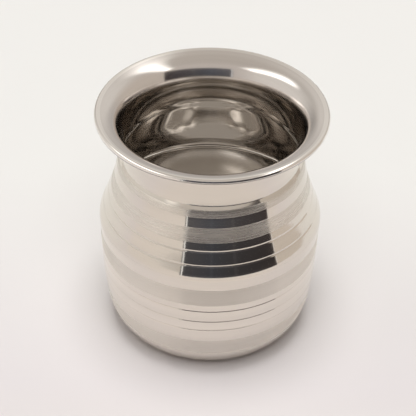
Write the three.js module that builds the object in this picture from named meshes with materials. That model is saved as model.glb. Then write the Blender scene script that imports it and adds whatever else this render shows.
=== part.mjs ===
// Lota: a small round stainless-steel water pot, made of two thin spun shells
// that are seam-welded at the widest corner of the belly.
//
// Units are millimetres, +Z is up. The origin is the centre of the base, on the
// plane the pot stands on. The pot is a body of revolution about Z, and every
// profile below is written as [radius, height].

import * as THREE from 'three';

// ---------------------------------------------------------------- dimensions

const HEIGHT = 99.3;         // base plane to the top of the rolled rim
const RIM_R = 45.0;          // outermost radius of the rolled rim
const SHEET = 0.6;           // sheet thickness of both shells

const BEAD_R = 1.15;         // outer radius of the rim's roll
const CURL_DEG = 247.5;      // how far the sheet turns round in that roll
const NECK_R = 34.45;        // outer radius of the neck at its narrowest
const NECK_Z = 81.0;         // height of the crease under the neck
const BELLY_R = 43.95;       // outer radius of the widest corner
const BELLY_Z = 51.0;        // height of the widest corner
const SEAM_HALF = 0.6;       // half the height of the welded seam
const SEAM_GAP = 0.02;       // fit-up gap between a shell's edge and the weld
const SEAM_ROOT = 0.25;      // how far the weld stands proud inside
const REST_R = 28.2;         // outer radius of the flat ring it stands on
const RECESS_R = 20.5;       // outer radius of the shallow recess in the base
const RECESS_TOP_R = 14.0;   // where its slope meets the flat centre
const RECESS_H = 1.0;        // depth of that recess

const SEGMENTS = 56;         // facets round the pot

// ------------------------------------------------------------------ profiles

// Outside of the lower shell, from the resting ring up to the seam.
const LOWER_WALL = [
  [REST_R, 0.0],
  [32.3, 0.7],
  [35.0, 2.2],
  [37.2, 4.4],
  [38.75, 6.9],
  [39.7, 9.1],
  [40.85, 12.9],
  [41.85, 18.9],
  [42.7, 26.8],
  [43.25, 37.7],
  [BELLY_R - 0.05, BELLY_Z - SEAM_HALF - SEAM_GAP],
];

// Outside of the upper shell, from the seam up the shoulder to the neck crease.
const SHOULDER = [
  [BELLY_R - 0.1, BELLY_Z + SEAM_HALF + SEAM_GAP],
  [43.5, 53.3],
  [42.1, 57.0],
  [40.1, 62.5],
  [38.95, 66.0],
  [38.1, 69.5],
  [37.3, 73.4],
  [36.6, 76.6],
  [36.1, 78.7],
  [35.65, 79.6],
  [NECK_R + 0.1, NECK_Z - 0.15],
];

// Outside of the neck and the underside of the flared mouth, up to where the
// sheet enters the rolled rim.
const FLARE = [
  [NECK_R, NECK_Z + 0.25],
  [NECK_R + 0.02, HEIGHT - 14.3],
  [NECK_R + 0.3, HEIGHT - 10.0],
  [NECK_R + 0.82, HEIGHT - 7.7],
  [NECK_R + 1.65, HEIGHT - 5.9],
  [NECK_R + 2.8, HEIGHT - 4.24],
  [NECK_R + 4.65, HEIGHT - 2.57],
  [NECK_R + 7.0, HEIGHT - 1.35],
];

// ------------------------------------------------------------------- helpers

// Points set off to the left of a path by a distance, mitred at its corners.
function offsetLeft(path, distance) {
  const unit = (a, b) => {
    const dr = b[0] - a[0], dz = b[1] - a[1];
    const length = Math.hypot(dr, dz);
    return [dr / length, dz / length];
  };
  return path.map((point, i) => {
    const before = i > 0 ? unit(path[i - 1], point) : unit(point, path[i + 1]);
    const after = i < path.length - 1 ? unit(point, path[i + 1]) : before;
    const n1 = [-before[1], before[0]];
    const n2 = [-after[1], after[0]];
    const sum = [n1[0] + n2[0], n1[1] + n2[1]];
    const scale = (2 * distance) / (sum[0] ** 2 + sum[1] ** 2);
    return [point[0] + sum[0] * scale, point[1] + sum[1] * scale];
  });
}

// Turns a closed profile about Z. LatheGeometry turns about Y, so it is tipped
// up afterwards. The profile runs anticlockwise, with the axis on its left.
function turned(profile) {
  const outline = profile.map(([r, z]) => new THREE.Vector2(r, z));
  const first = outline[0], last = outline[outline.length - 1];
  if (first.x > 0 || last.x > 0) outline.push(first.clone());
  const geometry = new THREE.LatheGeometry(outline, SEGMENTS);
  geometry.rotateX(Math.PI / 2);
  return geometry;
}

function piece(name, geometry, colour, roughness) {
  const material = new THREE.MeshStandardMaterial({
    color: colour, roughness: roughness, metalness: 1.0,
  });
  const mesh = new THREE.Mesh(geometry, material);
  mesh.name = name;
  return mesh;
}

// --------------------------------------------------------------- lower shell

// Outside: from the centre of the recess, over the resting ring and up the
// wall. Inside: the same path set off by the sheet, back down to the axis.
function lowerShell() {
  const outside = [
    [0, RECESS_H],
    [RECESS_TOP_R, RECESS_H],
    [RECESS_R, 0],
    ...LOWER_WALL,
  ];
  const inside = offsetLeft(outside, SHEET).reverse();
  inside[inside.length - 1][0] = 0;
  const top = outside[outside.length - 1];
  inside[0] = [top[0] - SHEET, top[1]];
  return turned([...outside, ...inside]);
}

// --------------------------------------------------------------- upper shell

// Outside: up the shoulder, the neck and the underside of the flare, then the
// inside of the curl. Back round the outside of the curl, over the top of the
// flare, and down the inside of the neck and shoulder to the seam.
function upperShell() {
  const centreR = RIM_R - BEAD_R;
  const centreZ = HEIGHT - BEAD_R;
  const curlR = BEAD_R - SHEET;
  const outerSteps = 11;
  const innerSteps = 6;
  const start = 90;
  const curl = (radius, steps) => {
    const points = [];
    for (let i = 0; i <= steps; i++) {
      const a = THREE.MathUtils.degToRad(start - (CURL_DEG * i) / steps);
      points.push([centreR + radius * Math.cos(a), centreZ + radius * Math.sin(a)]);
    }
    return points;
  };
  const outside = [...SHOULDER, ...FLARE];
  const inside = offsetLeft(outside, SHEET).reverse();
  const bottom = outside[0];
  inside[inside.length - 1] = [bottom[0] - SHEET, bottom[1]];
  return turned([
    ...outside,
    ...curl(curlR, innerSteps),
    ...curl(BEAD_R, outerSteps).reverse(),
    ...inside,
  ]);
}

// ---------------------------------------------------------------- belly weld

// A band of weld metal between the two edges: flush outside, and standing a
// little proud inside, where it was not ground.
function bellyWeld() {
  const low = BELLY_Z - SEAM_HALF;
  const high = BELLY_Z + SEAM_HALF;
  const innerR = BELLY_R - SHEET - 0.1;
  return turned([
    [BELLY_R - 0.05, low],
    [BELLY_R, BELLY_Z],
    [BELLY_R - 0.1, high],
    [innerR, high],
    [innerR - SEAM_ROOT, BELLY_Z],
    [innerR, low],
  ]);
}

// ------------------------------------------------------------------ assembly

const lota = new THREE.Group();
lota.name = 'lota';
lota.add(piece('lower_shell', lowerShell(), 0xc9c2b8, 0.18));
lota.add(piece('upper_shell', upperShell(), 0xc9c2b8, 0.18));
lota.add(piece('belly_weld', bellyWeld(), 0xd6d0c8, 0.12));

export default lota;
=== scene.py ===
import math

import bpy
import numpy as np
from mathutils import Matrix, Vector


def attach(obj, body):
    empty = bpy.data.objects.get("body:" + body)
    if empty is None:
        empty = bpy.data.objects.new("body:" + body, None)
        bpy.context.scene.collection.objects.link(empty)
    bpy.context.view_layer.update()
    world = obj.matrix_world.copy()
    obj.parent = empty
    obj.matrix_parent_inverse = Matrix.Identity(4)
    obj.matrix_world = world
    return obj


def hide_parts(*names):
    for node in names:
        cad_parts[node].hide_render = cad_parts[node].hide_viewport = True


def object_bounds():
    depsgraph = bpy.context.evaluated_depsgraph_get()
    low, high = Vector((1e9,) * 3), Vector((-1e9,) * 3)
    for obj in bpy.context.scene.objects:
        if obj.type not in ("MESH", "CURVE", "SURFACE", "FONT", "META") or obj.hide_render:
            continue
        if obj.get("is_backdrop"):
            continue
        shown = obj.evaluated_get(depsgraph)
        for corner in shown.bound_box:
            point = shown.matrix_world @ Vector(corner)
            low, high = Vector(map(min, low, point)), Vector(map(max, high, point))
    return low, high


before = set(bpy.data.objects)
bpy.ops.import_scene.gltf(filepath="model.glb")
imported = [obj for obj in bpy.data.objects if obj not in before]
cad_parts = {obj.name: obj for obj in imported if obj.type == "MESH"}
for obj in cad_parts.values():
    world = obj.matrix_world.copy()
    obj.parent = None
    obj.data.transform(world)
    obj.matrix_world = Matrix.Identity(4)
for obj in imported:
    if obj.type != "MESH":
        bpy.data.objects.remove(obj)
cad_low, cad_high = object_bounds()

# A small stainless-steel lota. Each shell is turned here again, from profiles
# in millimetres, [radius, height], with the rolled grooves, the soft corners
# and the open curl of the rim that the CAD solids leave out.

MM = 0.001
SEGMENTS = 240               # facets round the pot
HEIGHT = 99.3
RIM_R = 45.0
SHEET = 0.6
BEAD_R = 1.15                # outer radius of the rim's roll
BEAD_IN = 105.0              # where the flare runs into the roll, degrees
BEAD_END = -155.0            # where the curled sheet ends, degrees
SEAM_LOW, SEAM_HIGH = 50.4, 51.6
BELLY_Z = 51.0
RECESS_R = 20.5
RECESS_H = 1.0
RECESS_TOP_R = 14.0          # the recess slopes from this radius to RECESS_R
REST_R = 28.2

# ------------------------------------------------------------------ profiles


def pchip(xk, yk, x):
    """Smooth interpolation through the knots, with no overshoot."""
    xk, yk = np.asarray(xk, float), np.asarray(yk, float)
    h = np.diff(xk)
    d = np.diff(yk) / h
    m = np.zeros_like(yk)
    same = d[:-1] * d[1:] > 0
    w1, w2 = 2 * h[1:] + h[:-1], h[1:] + 2 * h[:-1]
    inner = np.zeros(len(d) - 1)
    inner[same] = (w1 + w2)[same] / (w1[same] / d[:-1][same] + w2[same] / d[1:][same])
    m[1:-1] = inner
    m[0], m[-1] = d[0], d[-1]
    i = np.clip(np.searchsorted(xk, x) - 1, 0, len(h) - 1)
    t = (np.asarray(x, float) - xk[i]) / h[i]
    a, b = (1 + 2 * t) * (1 - t) ** 2, t * (1 - t) ** 2
    c, e = t * t * (3 - 2 * t), t * t * (t - 1)
    return a * yk[i] + b * h[i] * m[i] + c * yk[i + 1] + e * h[i] * m[i + 1]


def by_height(knots, start_r, step=0.02):
    """A wall from its lean at each height: [height, degrees outwards from upright]."""
    z = np.arange(knots[0][0], knots[-1][0] + step / 2, step)
    z[-1] = knots[-1][0]
    lean = np.tan(np.radians(pchip([k[0] for k in knots], [k[1] for k in knots], z)))
    r = start_r + np.r_[0, np.cumsum((lean[1:] + lean[:-1]) / 2 * np.diff(z))]
    return np.c_[r, z]


def by_length(knots, start, step=0.02):
    """A path from its direction at each length along it: [length, degrees from level]."""
    s = np.arange(0, knots[-1][0] + step / 2, step)
    a = np.radians(pchip([k[0] for k in knots], [k[1] for k in knots], s))
    dr = (np.cos(a[1:]) + np.cos(a[:-1])) / 2 * step
    dz = (np.sin(a[1:]) + np.sin(a[:-1])) / 2 * step
    return np.c_[start[0] + np.r_[0, np.cumsum(dr)], start[1] + np.r_[0, np.cumsum(dz)]]


def length_of(path):
    return np.r_[0, np.cumsum(np.hypot(*np.diff(path, axis=0).T))]


def even(path, step=0.02):
    s = length_of(path)
    n = max(int(round(s[-1] / step)), 2)
    t = np.linspace(0, s[-1], n + 1)
    return np.c_[np.interp(t, s, path[:, 0]), np.interp(t, s, path[:, 1])]


def left_normals(path):
    g = np.gradient(path, axis=0)
    g /= np.maximum(np.hypot(g[:, 0], g[:, 1]), 1e-12)[:, None]
    return np.c_[-g[:, 1], g[:, 0]]


def soften(path, width):
    """Rounds the corners of an evenly spaced path over about this width."""
    k = max(int(round(width / 0.02)) | 1, 3)
    w = np.hanning(k + 2)[1:-1]
    w /= w.sum()
    half = k // 2
    ends = np.r_[np.repeat(path[:1], half, 0), path, np.repeat(path[-1:], half, 0)]
    out = np.c_[np.convolve(ends[:, 0], w, "valid"), np.convolve(ends[:, 1], w, "valid")]
    keep = half + 1
    fade = np.clip(np.minimum(np.arange(len(path)), np.arange(len(path))[::-1]) / keep, 0, 1)[:, None]
    return path * (1 - fade) + out * fade


def offset(path, distance):
    """The same path, set off to its left. Points that would fold back are dropped."""
    out = path + left_normals(path) * distance
    keep = [0]
    g = np.diff(path, axis=0)
    for i in range(1, len(out)):
        step = out[i] - out[keep[-1]]
        if step @ g[min(i, len(g) - 1)] > 1e-5:
            keep.append(i)
    return out[keep]


def grooved(path, grooves, scale=1.0):
    """Presses grooves into the outside: (height, half width, depth). Depth under 0 is a rib."""
    out = path.copy()
    n = left_normals(path)
    for z, half, depth in grooves:
        x = np.abs(path[:, 1] - z) / half
        vee = np.clip(1 - x, 0, None)
        round_ = np.where(x < 1, 0.5 + 0.5 * np.cos(np.pi * np.clip(x, 0, 1)), 0)
        out += n * ((0.55 * vee + 0.45 * round_) * depth * scale)[:, None]
    return out


def thinned(path, breaks=(), tolerance=0.0009, longest=0.9, shortest=0.05):
    """Keeps as many points as the curve needs, and one at each break height."""
    s = length_of(path)
    g = np.gradient(path, axis=0)
    a = np.unwrap(np.arctan2(g[:, 1], g[:, 0]))
    k = np.abs(np.gradient(a)) / np.maximum(np.gradient(s), 1e-9)
    k = np.convolve(np.r_[k[:1], k, k[-1:]], [0.25, 0.5, 0.25], "valid")
    step = np.clip(np.sqrt(8 * tolerance / np.maximum(k, 1e-6)), shortest, longest)
    wide = np.array([step[max(i - 3, 0): i + 4].min() for i in range(len(step))])
    count = np.r_[0, np.cumsum(np.diff(s) / ((wide[1:] + wide[:-1]) / 2))]
    marks = sorted({0, len(path) - 1, *[int(np.argmin(np.abs(path[:, 1] - b))) for b in breaks]})
    keep = []
    for i, j in zip(marks[:-1], marks[1:]):
        n = max(int(math.ceil(count[j] - count[i])), 1)
        keep += [int(np.argmin(np.abs(count - c))) for c in np.linspace(count[i], count[j], n + 1)[:-1]]
    keep.append(marks[-1])
    return path[sorted(set(keep))]


def arc(radius, start, end, steps):
    a = np.radians(np.linspace(start, end, steps + 1))
    return np.c_[RIM_R - BEAD_R + radius * np.cos(a), HEIGHT - BEAD_R + radius * np.sin(a)]


# The lower shell's outside: from the resting ring round the bottom corner and
# up the drawn wall, as directions along its length.
LOWER = [
    (0.0, 0.0), (2.2, 9.0), (5.5, 27.5), (8.9, 45.5), (11.9, 57.5), (14.6, 66.0), (17.9, 73.8),
    (22.9, 80.3), (30.0, 83.6), (39.5, 86.9), (49.0, 87.4), (55.0, 86.6), (58.4, 86.0),
]
LOWER_GROOVES = [
    (46.1, 0.16, 0.02), (38.1, 0.16, 0.02),
    (35.1, 0.36, 0.13), (29.7, 0.36, 0.13), (25.0, 0.36, 0.13),
    (18.7, 0.16, 0.02), (10.2, 0.42, 0.12),
]
# The shoulder's lean at each height, from the seam up to the crease.
SHOULDER = [
    (51.6, -6.0), (52.1, -8.0), (52.5, -10.0), (52.8, -13.0), (53.1, -17.5), (53.6, -20.5), (55.0, -21.6),
    (57.2, -21.3), (62.3, -19.2), (65.9, -16.4), (67.8, -14.1), (69.9, -12.8), (72.4, -12.3), (75.4, -12.6),
    (76.9, -13.4), (77.4, -16.5), (77.8, -22.0), (78.2, -30.0), (78.5, -37.0), (79.6, -38.0), (79.68, -20.0),
    (79.76, -8.0), (80.2, -5.0), (81.5, -4.0), (83.0, -2.5), (84.0, 0.0),
]
SHOULDER_GROOVES = [
    (56.8, 0.56, 0.13), (62.15, 0.58, 0.13),
    (65.5, 0.16, 0.02), (71.3, 0.16, 0.02), (75.5, 0.16, 0.02),
]
# The flare's upper face, from the neck up to the roll.
FLARE = [
    (80.9, 0.0), (84.8, 0.0), (86.8, 2.5), (88.6, 6.0), (90.3, 12.0), (91.8, 18.5), (93.1, 24.0), (94.3, 29.0),
    (95.4, 34.0), (96.4, 44.0), (97.2, 53.0), (97.8, 61.0), (98.3, 68.5), (98.7, 73.5),
    (HEIGHT - BEAD_R + BEAD_R * math.sin(math.radians(BEAD_IN)), BEAD_IN - 30.0),
]
NECK_IN = 33.85              # inside radius of the neck

BANDS = [                    # satin bands on the outside: from, to, kind
    (11.2, 18.7, "coarse"), (38.1, 46.1, "coarse"), (65.5, 71.3, "satin"), (75.5, 78.5, "satin"),
]
EDGES = [z for low, high, _ in BANDS for z in (low, high)]


def lower_profile():
    base = np.array([[0, RECESS_H], [RECESS_TOP_R, RECESS_H], [RECESS_R + 0.2, 0.0], [REST_R, 0.0]])
    base = soften(even(base), 2.4)
    wall = by_length(LOWER, (REST_R, 0.0))
    seam = np.argmin(np.abs(wall[:, 1] - (SEAM_LOW - 0.01)))
    wall = wall[: seam + 1]
    rise = (wall[:, 1] / wall[-1, 1])
    wall[:, 0] += (43.9 - wall[-1, 0]) * rise
    wall[:, 1] *= (SEAM_LOW - 0.01) / wall[-1, 1]
    return even(np.r_[base, wall[1:]])


def upper_profile():
    """The outside and the inside of the upper shell, each from the seam up to the roll."""
    shoulder = by_height(SHOULDER, 0.0)
    shoulder[:, 0] += (NECK_IN + SHEET) - shoulder[-1, 0]
    print("seam radius by the leans", round(float(shoulder[0, 0]), 3))
    shoulder[:, 0] += (43.86 - shoulder[0, 0]) * np.clip((80.5 - shoulder[:, 1]) / 28.9, 0, 1)
    shoulder[0, 1] = SEAM_HIGH + 0.01
    flare = by_height(FLARE, 0.0)
    end_r = RIM_R - BEAD_R + BEAD_R * math.cos(math.radians(BEAD_IN))
    flare[:, 0] = NECK_IN + (flare[:, 0] - flare[0, 0]) * (end_r - NECK_IN) / (flare[-1, 0] - flare[0, 0])
    under = offset(even(flare), -SHEET)
    outside = even(np.r_[shoulder, under[under[:, 1] > 84.02]])
    return outside, even(flare)


def bands_of(path, side):
    """Which finish each stretch of a path has."""
    kinds = []
    for (r0, z0), (r1, z1) in zip(path[:-1], path[1:]):
        z, r = (z0 + z1) / 2, (r0 + r1) / 2
        kind = side
        if side == "outside":
            kind = "mirror"
            for low, high, name in BANDS:
                if low < z < high:
                    kind = name
            if r < REST_R + 1.5 and z < 1.0:
                kind = "base"
        kinds.append(kind)
    return kinds


# ---------------------------------------------------------------- materials

STEEL = (0.762, 0.716, 0.652)


def math_node(tree, op, a, b=None, clamp=False):
    node = tree.nodes.new("ShaderNodeMath")
    node.operation, node.use_clamp = op, clamp
    for i, v in enumerate((a, b)):
        if v is None:
            continue
        if isinstance(v, (int, float)):
            node.inputs[i].default_value = v
        else:
            tree.links.new(v, node.inputs[i])
    return node.outputs[0]


def mapped(tree, value, low, high, to_low, to_high):
    node = tree.nodes.new("ShaderNodeMapRange")
    node.clamp = True
    tree.links.new(value, node.inputs["Value"])
    for name, v in (("From Min", low), ("From Max", high), ("To Min", to_low), ("To Max", to_high)):
        node.inputs[name].default_value = v
    return node.outputs["Result"]


def noise(tree, vector, scale, detail=2.0, rough=0.5):
    node = tree.nodes.new("ShaderNodeTexNoise")
    node.inputs["Scale"].default_value = scale
    node.inputs["Detail"].default_value = detail
    node.inputs["Roughness"].default_value = rough
    tree.links.new(vector, node.inputs["Vector"])
    return node.outputs["Fac"]


def round_vector(tree, around, along):
    """A vector that turns slowly round the pot and runs fast along its profile, with no seam."""
    uv = tree.nodes.new("ShaderNodeUVMap")
    uv.uv_map = "turned"
    split = tree.nodes.new("ShaderNodeSeparateXYZ")
    tree.links.new(uv.outputs[0], split.inputs[0])
    angle = math_node(tree, "MULTIPLY", split.outputs[0], 2 * math.pi)
    x = math_node(tree, "MULTIPLY", math_node(tree, "COSINE", angle), around)
    y = math_node(tree, "MULTIPLY", math_node(tree, "SINE", angle), around)
    z = math_node(tree, "MULTIPLY", split.outputs[1], along)
    join = tree.nodes.new("ShaderNodeCombineXYZ")
    for i, v in enumerate((x, y, z)):
        tree.links.new(v, join.inputs[i])
    return join.outputs[0]


def steel(name, roughness, spread, aniso, line_depth, line_size=0.4, tint=STEEL, shade=0.05, smudge=0.03):
    """Turned stainless steel. roughness runs by +-spread in fine rings, line_depth is the rings' relief
    in metres and line_size their width in millimetres."""
    mat = bpy.data.materials.new(name)
    mat.use_nodes = True
    tree = mat.node_tree
    shader = tree.nodes["Principled BSDF"]
    shader.inputs["Metallic"].default_value = 1.0
    shader.inputs["Anisotropic"].default_value = aniso
    shader.inputs["Anisotropic Rotation"].default_value = 0.25
    fine = noise(tree, round_vector(tree, 0.9, 1000.0 / line_size), 1.0, 3.0, 0.6)
    broad = noise(tree, round_vector(tree, 0.35, 260.0), 1.0, 2.0, 0.5)
    where = tree.nodes.new("ShaderNodeTexCoord")
    cloud = noise(tree, where.outputs["Object"], 38.0, 3.0, 0.55)
    rings = math_node(tree, "ADD", mapped(tree, fine, 0.3, 0.7, -spread, spread),
                      mapped(tree, broad, 0.35, 0.65, -spread * 0.6, spread * 0.6))
    haze = mapped(tree, cloud, 0.5, 0.75, 0.0, smudge)
    rough = math_node(tree, "ADD", math_node(tree, "ADD", rings, haze), roughness, clamp=True)
    tree.links.new(rough, shader.inputs["Roughness"])
    tone = tree.nodes.new("ShaderNodeMix")
    tone.data_type = "RGBA"
    tone.inputs["A"].default_value = (*[c * (1 - shade) for c in tint], 1)
    tone.inputs["B"].default_value = (*[min(c * (1 + shade * 0.4), 0.95) for c in tint], 1)
    tree.links.new(mapped(tree, broad, 0.3, 0.7, 0.0, 1.0), tone.inputs["Factor"])
    tree.links.new(tone.outputs["Result"], shader.inputs["Base Color"])
    bump = tree.nodes.new("ShaderNodeBump")
    bump.inputs["Strength"].default_value = 1.0
    bump.inputs["Distance"].default_value = line_depth
    tree.links.new(math_node(tree, "ADD", fine, math_node(tree, "MULTIPLY", broad, 1.2)), bump.inputs["Height"])
    tree.links.new(bump.outputs["Normal"], shader.inputs["Normal"])
    tangent = tree.nodes.new("ShaderNodeTangent")
    tangent.direction_type = "RADIAL"
    tangent.axis = "Z"
    tree.links.new(tangent.outputs[0], shader.inputs["Tangent"])
    return mat


MATERIALS = {
    "mirror": steel("steel_mirror", 0.085, 0.010, 0.55, 1.2e-6),
    "satin": steel("steel_satin", 0.270, 0.014, 1.0, 0.9e-6, 0.30, shade=0.06),
    "coarse": steel("steel_satin_coarse", 0.290, 0.014, 1.0, 0.9e-6, 0.30, shade=0.06),
    "flare": steel("steel_flare", 0.120, 0.026, 0.60, 2.0e-6, 0.35, tint=(0.768, 0.728, 0.694)),
    # a lighter tint than the rest of the steel: a painted highlight on the top of the rim's curl
    "roll": steel("steel_roll_painted_highlight", 0.120, 0.020, 0.40, 1.2e-6, 0.35, tint=(0.86, 0.825, 0.785)),
    # the same steel with a dark tint: painted shade in the gap under the rim's curl and on its inner face
    "under": steel("steel_under_painted_shade", 0.300, 0.030, 0.60, 2.0e-6, 0.35, tint=(0.40, 0.375, 0.35)),
    # a darker tint than the outside steel: painted shade inside the hollow of the pot
    "inside": steel("steel_inside_painted_shade", 0.090, 0.004, 0.30, 2.0e-7, 0.5, tint=(0.69, 0.662, 0.630), shade=0.02, smudge=0.01),
    "base": steel("steel_base", 0.240, 0.030, 0.70, 4.0e-6, 0.5),
    "weld": steel("steel_weld", 0.160, 0.030, 0.30, 1.5e-6, 0.6, tint=(0.80, 0.765, 0.72)),
}

# --------------------------------------------------------------------- mesh


def turn(name, profile, kinds, closed, bump_round=None):
    """Turns a profile about Z. kinds has the finish of each stretch. bump_round(angle, i) moves a point out."""
    profile = np.asarray(profile)
    n = len(profile)
    rings = n if not closed else n
    s = np.r_[0, np.cumsum(np.hypot(*np.diff(profile, axis=0).T))]
    total = s[-1] + (np.hypot(*(profile[0] - profile[-1])) if closed else 0)
    verts, index = [], np.zeros((rings, SEGMENTS), int)
    for i, (r, z) in enumerate(profile):
        if r < 1e-6:
            index[i, :] = len(verts)
            verts.append((0.0, 0.0, z * MM))
            continue
        for j in range(SEGMENTS):
            a = 2 * math.pi * j / SEGMENTS
            rr = r + (bump_round(a, i) if bump_round else 0.0)
            index[i, j] = len(verts)
            verts.append((rr * MM * math.cos(a), rr * MM * math.sin(a), z * MM))
    faces, slots, uvs = [], [], []
    used = list(dict.fromkeys(kinds))
    for i in range(rings if closed else rings - 1):
        k = (i + 1) % n
        v0, v1 = s[i], s[i] + np.hypot(*(profile[k] - profile[i]))
        for j in range(SEGMENTS):
            m = (j + 1) % SEGMENTS
            u0, u1 = j / SEGMENTS, (j + 1) / SEGMENTS
            a, b, c, d = index[i, j], index[i, m], index[k, m], index[k, j]
            corners = [(a, (u0, v0)), (b, (u1, v0)), (c, (u1, v1)), (d, (u0, v1))]
            if a == b:
                corners = [(a, ((u0 + u1) / 2, v0)), corners[2], corners[3]]
            elif c == d:
                corners = [corners[0], corners[1], (c, ((u0 + u1) / 2, v1))]
            faces.append([x[0] for x in corners])
            uvs.extend(x[1] for x in corners)
            slots.append(used.index(kinds[i]))
    mesh = bpy.data.meshes.new(name)
    mesh.from_pydata(verts, [], faces)
    uvs = np.array(uvs)
    along = mesh.uv_layers.new(name="turned")
    along.uv.foreach_set("vector", np.c_[uvs[:, 0], uvs[:, 1] * MM].astype(np.float32).ravel())
    bake = mesh.uv_layers.new(name="OFBake")
    bake.uv.foreach_set("vector", np.c_[uvs[:, 0] * 0.996 + 0.002, uvs[:, 1] / total * 0.5 + 0.002]
                        .astype(np.float32).ravel())
    for kind in used:
        mesh.materials.append(MATERIALS[kind])
    mesh.polygons.foreach_set("material_index", slots)
    mesh.polygons.foreach_set("use_smooth", [True] * len(faces))
    mesh.update()
    mesh.set_sharp_from_angle(angle=math.radians(48))
    obj = bpy.data.objects.new(name, mesh)
    bpy.context.scene.collection.objects.link(obj)
    return obj


def mirrored_inside(outside, grooves):
    """The inside face of a wall: the outside set off by the sheet, with the rolled grooves showing faintly."""
    inner = even(offset(soften(outside, 0.5), SHEET))
    return grooved(inner, [(z, half * 1.8, depth) for z, half, depth in grooves if depth > 0.05], 0.12)


def make_lower():
    plain = lower_profile()
    outside = thinned(grooved(plain, LOWER_GROOVES), EDGES)
    inside = mirrored_inside(plain, LOWER_GROOVES)
    inside[0, 0] = 0.0
    top = outside[-1]
    inside[-1] = (top[0] - SHEET, top[1])
    inside = thinned(inside[inside[:, 1] <= top[1] + 1e-6], tolerance=0.002, longest=1.2)
    outside[0, 0] = 0.0
    profile = np.r_[outside, inside[::-1]]
    kinds = bands_of(outside, "outside") + ["mirror"] + ["inside"] * (len(inside) - 1)
    return turn("lower_shell_spun", profile, kinds, closed=False)


def make_upper():
    plain, flare = upper_profile()
    outside = thinned(grooved(plain, SHOULDER_GROOVES), EDGES)
    crease = np.argmax(plain[:, 1] > 83.5)
    inside_low = mirrored_inside(plain[: crease + 1], SHOULDER_GROOVES)
    bottom = outside[0]
    inside_low[0] = (bottom[0] - SHEET, bottom[1])
    inside_low = inside_low[inside_low[:, 0] > NECK_IN]
    inside = soften(even(np.r_[inside_low, flare[flare[:, 1] > max(inside_low[-1, 1], 83.8)]]), 0.8)
    # the inside runs smoothly past the crease under the neck
    near = (np.clip((inside[:, 1] - 71.5) / 3, 0, 1) * np.clip((90.0 - inside[:, 1]) / 3, 0, 1))[:, None]
    inside = inside * (1 - near) + soften(inside, 9.0) * near
    inside = thinned(inside, [90.3], tolerance=0.0015, longest=1.0)
    inner_arc = arc(BEAD_R - SHEET, BEAD_IN, BEAD_END, 34)
    tip = arc(BEAD_R - SHEET / 2, BEAD_END - 7, BEAD_END - 7, 0)
    outer_arc = arc(BEAD_R, BEAD_END, BEAD_IN, 56)
    parts = [
        (outside, "outside"), (inner_arc[1:], "flare"), (tip, "flare"), (outer_arc, "roll"), (inside[::-1][1:], "top"),
    ]
    profile = np.concatenate([p for p, _ in parts])
    kinds = []
    # The curl's inner face, its tip, its lower outer face and the joint from the outside take the dark under tint:
    # painted shade in the gap under the rim.
    for p, side in parts:
        if side == "outside":
            kinds += bands_of(p, "outside") + ["under"]
        elif side == "top":
            kinds += ["flare" if z > 90.3 else "inside" for _, z in p[:-1]] + ["mirror"]
        elif side == "roll":
            turned_by = np.degrees(np.arctan2(p[:, 1] - (HEIGHT - BEAD_R), p[:, 0] - (RIM_R - BEAD_R)))
            # the top of the curl takes the lighter roll tint (a painted highlight), the rest the dark under tint
            # (painted shade)
            kinds += ["roll" if -8 < a < 130 else "under" for a in turned_by]
        else:
            kinds += ["under"] * len(p)
    return turn("upper_shell_spun", profile, kinds, closed=True)


def make_weld():
    low, high = 43.905, 43.865
    outer = even(np.array([[low, SEAM_LOW], [43.925, BELLY_Z], [high, SEAM_HIGH]]))
    outer = soften(outer, 0.5)
    outer = outer[::4]
    inner_r = 43.9 - SHEET
    t = np.linspace(0, math.pi, 13)
    bead = np.c_[inner_r - 0.06 - 0.24 * np.sin(t), SEAM_HIGH - (SEAM_HIGH - SEAM_LOW) * (1 - np.cos(t)) / 2]
    profile = np.r_[outer, bead]
    first = len(outer)

    def ripple(angle, i):
        if i <= first or i >= len(profile) - 1:
            return 0.0
        return -0.02 * (1 + math.cos(angle * 120)) * math.sin(t[i - first])

    return turn("belly_weld_bead", profile, ["mirror"] * len(outer) + ["weld"] * len(bead), closed=True, bump_round=ripple)


for build, node, slot in (
    (make_lower, "lower_shell", "shell_steel"),
    (make_upper, "upper_shell", "shell_steel"),
    (make_weld, "belly_weld", "weld_steel"),
):
    piece = build()
    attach(piece, "root")
    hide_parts(node)
    print(piece.name, len(piece.data.polygons))

# ------------------------------------------------------------- floor, light


def emitter(name, stops, fade=(1.0, 1.0), foot_glow=0.0):
    """A plain glow with these colours along the piece's U. fade scales it from the foot to half way up,
    and foot_glow adds to it just above the floor."""
    mat = bpy.data.materials.new(name)
    mat.use_nodes = True
    tree = mat.node_tree
    tree.nodes.remove(tree.nodes["Principled BSDF"])
    glow = tree.nodes.new("ShaderNodeEmission")
    uv = tree.nodes.new("ShaderNodeUVMap")
    split = tree.nodes.new("ShaderNodeSeparateXYZ")
    tree.links.new(uv.outputs[0], split.inputs[0])
    ramp = tree.nodes.new("ShaderNodeValToRGB")
    ramp.color_ramp.elements[0].color = (*stops[0][1], 1)
    ramp.color_ramp.elements[1].color = (*stops[-1][1], 1)
    for at, colour in stops[1:-1]:
        ramp.color_ramp.elements.new(at).color = (*colour, 1)
    tree.links.new(split.outputs[0], ramp.inputs[0])
    tree.links.new(ramp.outputs[0], glow.inputs[0])
    level = math_node(tree, "ADD", mapped(tree, split.outputs[1], 0.0, 0.35, *fade),
                      mapped(tree, split.outputs[1], 0.035, 0.065, foot_glow, 0.0))
    tree.links.new(level, glow.inputs["Strength"])
    tree.links.new(glow.outputs[0], tree.nodes["Material Output"].inputs[0])
    return mat


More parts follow.
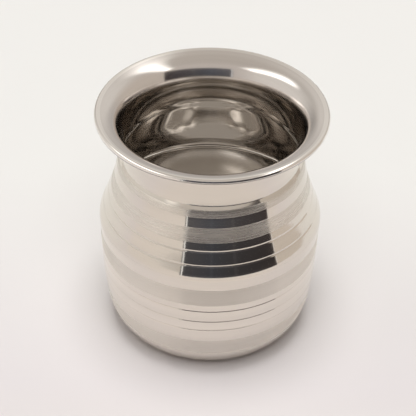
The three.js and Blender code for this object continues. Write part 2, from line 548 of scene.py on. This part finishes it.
def card(name, foot, head, start, end, high, material):
    """A curved card that stands round the pot and leans away from it. 0 degrees is on the camera's side, and positive
    is to its right."""
    steps = max(int(abs(end - start) / 3), 2)
    verts, faces, uvs = [], [], []
    for i in range(steps + 1):
        a = math.radians(start + (end - start) * i / steps)
        for radius, z in ((foot, 0.0), (head, high)):
            verts.append((radius * math.sin(a), -radius * math.cos(a), z))
    for i in range(steps):
        faces.append((2 * i, 2 * i + 2, 2 * i + 3, 2 * i + 1))
        for x, v in ((i, 0), (i + 1, 0), (i + 1, 1), (i, 1)):
            uvs.append((x / steps, v))
    mesh = bpy.data.meshes.new(name)
    mesh.from_pydata(verts, [], faces)
    mesh.uv_layers.new(name="UVMap").uv.foreach_set("vector", np.array(uvs, np.float32).ravel())
    mesh.materials.append(material)
    obj = bpy.data.objects.new(name, mesh)
    bpy.context.scene.collection.objects.link(obj)
    obj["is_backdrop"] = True
    obj.visible_camera = False
    obj.visible_diffuse = False
    obj.visible_shadow = False
    return obj


def floor_with_painted_falloff():
    size = 8.0
    mesh = bpy.data.meshes.new("floor")
    mesh.from_pydata([(-size, -size, 0), (size, -size, 0), (size, size, 0), (-size, size, 0)], [], [(0, 1, 2, 3)])
    mat = bpy.data.materials.new("paper_floor_painted_falloff")
    mat.use_nodes = True
    tree = mat.node_tree
    shader = tree.nodes["Principled BSDF"]
    shader.inputs["Roughness"].default_value = 0.9
    shader.inputs["Specular IOR Level"].default_value = 0.15
    where = tree.nodes.new("ShaderNodeTexCoord")
    split = tree.nodes.new("ShaderNodeSeparateXYZ")
    tree.links.new(where.outputs["Object"], split.inputs[0])
    # the paper is darker and warmer towards the camera's side (-Y): painted shade for the light falling off towards
    # the front
    tone = tree.nodes.new("ShaderNodeValToRGB")
    tone.color_ramp.elements[0].color = (0.800, 0.745, 0.700, 1)
    tone.color_ramp.elements[1].color = (0.870, 0.855, 0.825, 1)
    for at, colour in ((0.36, (0.800, 0.745, 0.710)), (0.44, (0.790, 0.745, 0.745)), (0.62, (0.860, 0.845, 0.815))):
        tone.color_ramp.elements.new(at).color = (*colour, 1)
    tree.links.new(mapped(tree, split.outputs[1], -0.40, 0.40, 0.0, 1.0), tone.inputs[0])
    tree.links.new(tone.outputs[0], shader.inputs["Base Color"])
    mesh.materials.append(mat)
    obj = bpy.data.objects.new("floor", mesh)
    bpy.context.scene.collection.objects.link(obj)
    obj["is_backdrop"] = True


floor_with_painted_falloff()
DARK = [(0.0, (0.092, 0.089, 0.096)), (0.27, (0.068, 0.070, 0.082)), (0.29, (0.085, 0.089, 0.104)),
        (0.31, (0.065, 0.068, 0.080)), (0.52, (0.060, 0.058, 0.063)), (0.545, (0.084, 0.080, 0.086)),
        (0.57, (0.057, 0.054, 0.058)), (1.0, (0.048, 0.040, 0.040))]
card("dark_card", 0.20, 1.20, -22.5, 61.0, 0.80, emitter("dark_card", DARK, (0.62, 1.45), 0.5))
card("bright_edge", 0.20, 1.20, -23.6, -22.5, 0.80, emitter("bright_edge", [(0.0, (1.1, 1.1, 1.1)), (1.0, (1.1, 1.1, 1.1))]))
card("dark_edge", 0.20, 1.20, -24.6, -23.6, 0.80, emitter("dark_edge", [(0.0, (0.12, 0.12, 0.12)), (1.0, (0.12, 0.12, 0.12))]))
card("grey_card", 0.30, 0.34, 63.0, 112.0, 0.13, emitter("grey_card", [(0.0, (0.66, 0.59, 0.53)), (1.0, (0.66, 0.59, 0.53))]))


def soft_step(tree, value, edge, soft):
    node = tree.nodes.new("ShaderNodeMapRange")
    node.interpolation_type = "SMOOTHSTEP"
    tree.links.new(value, node.inputs["Value"])
    node.inputs["From Min"].default_value = edge - soft
    node.inputs["From Max"].default_value = edge + soft
    return node.outputs["Result"]


def soft_box(tree, across, along, centre, half_across, start, end, soft, tail=None):
    """1 inside a soft-edged strip in the plane overhead, 0 outside. tail is how slowly its near end begins."""
    away = math_node(tree, "ABSOLUTE", math_node(tree, "SUBTRACT", across, centre))
    a = math_node(tree, "SUBTRACT", 1.0, soft_step(tree, away, half_across, soft))
    b = soft_step(tree, along, start, tail or soft)
    c = math_node(tree, "SUBTRACT", 1.0, soft_step(tree, along, end, soft))
    return math_node(tree, "MULTIPLY", a, math_node(tree, "MULTIPLY", b, c))


def studio():
    """A white studio: pale walls, a greyer ceiling and two long soft strips overhead, left and right."""
    world = bpy.data.worlds.new("studio")
    bpy.context.scene.world = world
    world.use_nodes = True
    tree = world.node_tree
    back = tree.nodes["Background"]
    where = tree.nodes.new("ShaderNodeTexCoord")
    split = tree.nodes.new("ShaderNodeSeparateXYZ")
    tree.links.new(where.outputs["Generated"], split.inputs[0])
    x, y, z = split.outputs
    up = math_node(tree, "MAXIMUM", z, 0.02)
    px = math_node(tree, "DIVIDE", x, up)
    py = math_node(tree, "DIVIDE", math_node(tree, "MULTIPLY", y, -1.0), up)
    above = soft_step(tree, z, 0.1, 0.1)
    left = soft_box(tree, px, py, -1.02, 0.21, -0.55, 0.95, 0.25)
    # the right strip runs a little askew: its own axes
    ux, uy = math.sin(math.radians(31)), math.cos(math.radians(31))
    across = math_node(tree, "SUBTRACT", math_node(tree, "MULTIPLY", px, uy), math_node(tree, "MULTIPLY", py, ux))
    along = math_node(tree, "ADD", math_node(tree, "MULTIPLY", px, ux), math_node(tree, "MULTIPLY", py, uy))
    right = soft_box(tree, across, along, 0.60, 0.10, -0.35, 1.20, 0.16, 0.45)
    strips = math_node(tree, "MULTIPLY", math_node(tree, "ADD", left, right), above)
    # walls: paler to the left and right, greyer on the camera's side and overhead. The far wall is grey low down,
    # white above, and greyer in its left corner
    far = tree.nodes.new("ShaderNodeValToRGB")
    far.color_ramp.elements[0].color = (0.500, 0.475, 0.450, 1)
    far.color_ramp.elements[1].color = (0.775, 0.740, 0.700, 1)
    for at, colour in ((0.14, (0.510, 0.485, 0.460)), (0.33, (0.605, 0.575, 0.545)), (0.46, (0.755, 0.720, 0.680))):
        far.color_ramp.elements.new(at).color = (*colour, 1)
    tree.links.new(z, far.inputs[0])
    corner = tree.nodes.new("ShaderNodeMix")
    corner.data_type = "RGBA"
    corner.blend_type = "MULTIPLY"
    corner.inputs["B"].default_value = (0.77, 0.765, 0.755, 1)
    tree.links.new(far.outputs[0], corner.inputs["A"])
    tree.links.new(soft_step(tree, math_node(tree, "MULTIPLY", x, -1.0), 0.32, 0.16), corner.inputs["Factor"])
    facing = tree.nodes.new("ShaderNodeMix")
    facing.data_type = "RGBA"
    facing.inputs["A"].default_value = (0.62, 0.575, 0.535, 1)
    tree.links.new(corner.outputs["Result"], facing.inputs["B"])
    tree.links.new(soft_step(tree, y, 0.25, 0.30), facing.inputs["Factor"])
    side = math_node(tree, "ABSOLUTE", x)
    ends = tree.nodes.new("ShaderNodeMix")
    ends.data_type = "RGBA"
    ends.inputs["A"].default_value = (0.79, 0.755, 0.715, 1)
    ends.inputs["B"].default_value = (0.60, 0.540, 0.480, 1)
    tree.links.new(soft_step(tree, x, 0.0, 0.6), ends.inputs["Factor"])
    wall = tree.nodes.new("ShaderNodeMix")
    wall.data_type = "RGBA"
    tree.links.new(facing.outputs["Result"], wall.inputs["A"])
    tree.links.new(ends.outputs["Result"], wall.inputs["B"])
    tree.links.new(soft_step(tree, side, 0.68, 0.27), wall.inputs["Factor"])
    roof = tree.nodes.new("ShaderNodeMix")
    roof.data_type = "RGBA"
    roof.inputs["B"].default_value = (0.54, 0.50, 0.455, 1)
    tree.links.new(wall.outputs["Result"], roof.inputs["A"])
    tree.links.new(soft_step(tree, z, 0.80, 0.22), roof.inputs["Factor"])
    lit = tree.nodes.new("ShaderNodeMix")
    lit.data_type = "RGBA"
    lit.blend_type = "ADD"
    lit.inputs["Factor"].default_value = 1.0
    glow = tree.nodes.new("ShaderNodeMix")
    glow.data_type = "RGBA"
    glow.inputs["A"].default_value = (0, 0, 0, 1)
    glow.inputs["B"].default_value = (2.2, 2.2, 2.17, 1)
    glow.clamp_factor = True
    tree.links.new(strips, glow.inputs["Factor"])
    tree.links.new(roof.outputs["Result"], lit.inputs["A"])
    tree.links.new(glow.outputs["Result"], lit.inputs["B"])
    # behind the object in the picture there is only the plain pale ground
    path = tree.nodes.new("ShaderNodeLightPath")
    seen = tree.nodes.new("ShaderNodeMix")
    seen.data_type = "RGBA"
    seen.inputs["B"].default_value = (0.87, 0.84, 0.80, 1)
    tree.links.new(path.outputs["Is Camera Ray"], seen.inputs["Factor"])
    tree.links.new(lit.outputs["Result"], seen.inputs["A"])
    tree.links.new(seen.outputs["Result"], back.inputs["Color"])
    # the floor takes less from the walls than the steel shows of them: most of its light comes from the soft suns
    less = math_node(tree, "SUBTRACT", 1.0, math_node(tree, "MULTIPLY", path.outputs["Is Diffuse Ray"], 0.80))
    tree.links.new(less, back.inputs["Strength"])


studio()


def soft_sun(name, azimuth, height, spread, strength):
    """A large soft light that only the floor takes, with its shadow. The steel has the studio to reflect."""
    data = bpy.data.lights.new(name, "SUN")
    data.angle = math.radians(spread)
    data.energy = strength
    obj = bpy.data.objects.new(name, data)
    a, h = math.radians(azimuth), math.radians(height)
    toward = Vector((math.sin(a) * math.cos(h), -math.cos(a) * math.cos(h), math.sin(h)))
    obj.rotation_mode = "QUATERNION"
    obj.rotation_quaternion = toward.to_track_quat("Z", "Y")
    obj.visible_glossy = False
    obj.visible_camera = False
    bpy.context.scene.collection.objects.link(obj)


soft_sun("overhead", 0.0, 89.9, 24.0, 1.72)
soft_sun("front", 0.0, 62.0, 40.0, 1.02)
soft_sun("left", -90.0, 50.0, 40.0, 0.14)

# ------------------------------------------------------------------- camera

PITCH, YAW, ROLL = 0.66267, -0.00164, -0.02092


def photo_camera():
    data = bpy.data.cameras.new("photo_camera")
    data.sensor_width = 36.0
    data.lens = 138.46
    data.clip_start, data.clip_end = 0.01, 50.0
    f = np.array([math.sin(YAW) * math.cos(PITCH), math.cos(YAW) * math.cos(PITCH), -math.sin(PITCH)])
    r = np.array([math.cos(YAW), -math.sin(YAW), 0.0])
    d = np.cross(f, r)
    right = math.cos(ROLL) * r + math.sin(ROLL) * d
    down = -math.sin(ROLL) * r + math.cos(ROLL) * d
    turn_ = Matrix((right, -down, -f)).transposed().to_4x4()
    obj = bpy.data.objects.new("photo_camera", data)
    obj.matrix_world = Matrix.Translation((0.0, -0.50211, 0.44381)) @ turn_
    bpy.context.scene.collection.objects.link(obj)
    bpy.context.scene.camera = obj


photo_camera()
scene = bpy.context.scene
scene.view_settings.view_transform = "Standard"
scene.view_settings.look = "None"
scene.cycles.max_bounces = 9
scene.cycles.glossy_bounces = 9
scene.cycles.diffuse_bounces = 4
scene.cycles.blur_glossy = 0.8

bpy.context.view_layer.update()
now_low, now_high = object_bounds()
print("CAD box", [round(v, 4) for v in (*cad_low, *cad_high)], "visual", [round(v, 4) for v in (*now_low, *now_high)])
